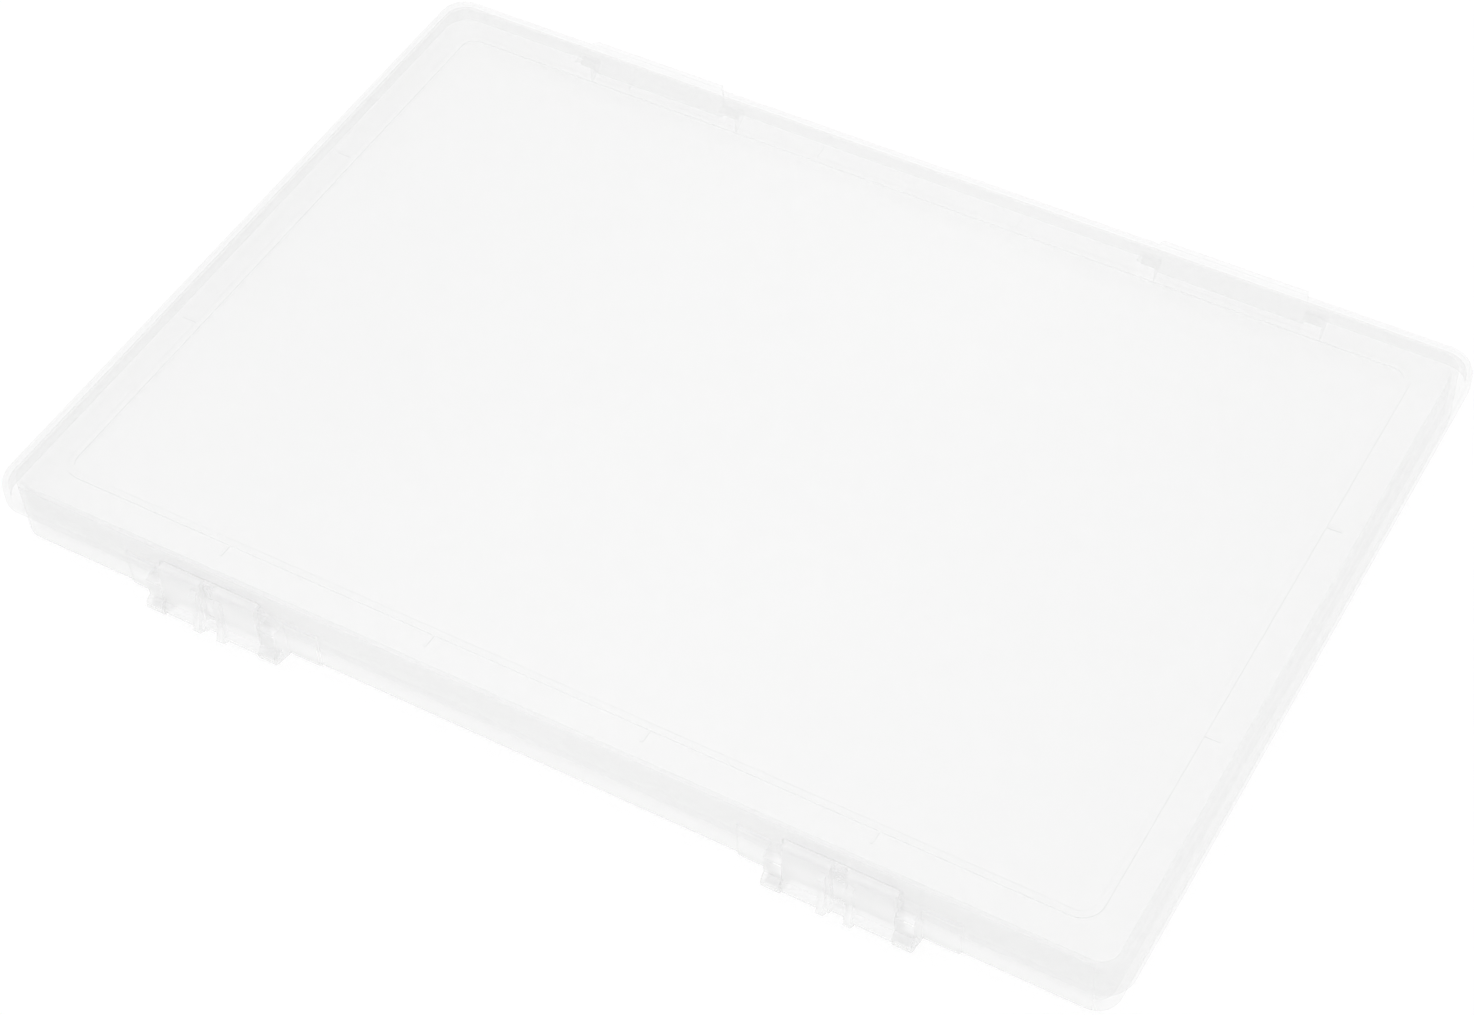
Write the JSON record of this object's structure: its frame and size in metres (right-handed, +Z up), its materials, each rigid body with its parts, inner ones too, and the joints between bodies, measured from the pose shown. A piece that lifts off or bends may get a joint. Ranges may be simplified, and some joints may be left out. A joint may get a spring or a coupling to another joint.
{
  "type": "portable file box",
  "caption": "Shallow clear plastic case for A4 sheets, with a round-edged lid hinged along the back of a tray and snap latches along the front.",
  "frame": {"origin": "centre of the bounding box in plan, on the table under the tray", "axes": "+X along the long side, to the right of someone who faces the latches; +Y from the latches to the hinges; +Z up"},
  "size_m": [0.324, 0.2298, 0.0216],
  "materials": {
    "tray_plastic": "clear polypropylene, slightly hazy, smooth",
    "lid_plastic": "clear polypropylene, slightly hazy, smooth",
    "latch_plastic": "clear polypropylene, slightly hazy, smooth"
  },
  "bodies": {
    "tray": {"tray": "tray_plastic"},
    "lid": {"lid": "lid_plastic"},
    "latch_left": {"latch_left": "latch_plastic"},
    "latch_right": {"latch_right": "latch_plastic"}
  },
  "joints": [
    {"name": "lid_hinge", "type": "hinge", "parent": "tray", "child": "lid", "pos_m": [0, 0.11269, 0.0109], "axis": [-1, 0, 0], "range_deg": [0, 180]},
    {"name": "latch_left_hinge", "type": "hinge", "parent": "tray", "child": "latch_left", "pos_m": [-0.0906, -0.11121, 0.0042], "axis": [1, 0, 0], "range_deg": [0, 100]},
    {"name": "latch_right_hinge", "type": "hinge", "parent": "tray", "child": "latch_right", "pos_m": [0.0906, -0.11121, 0.0042], "axis": [1, 0, 0], "range_deg": [0, 100]}
  ]
}
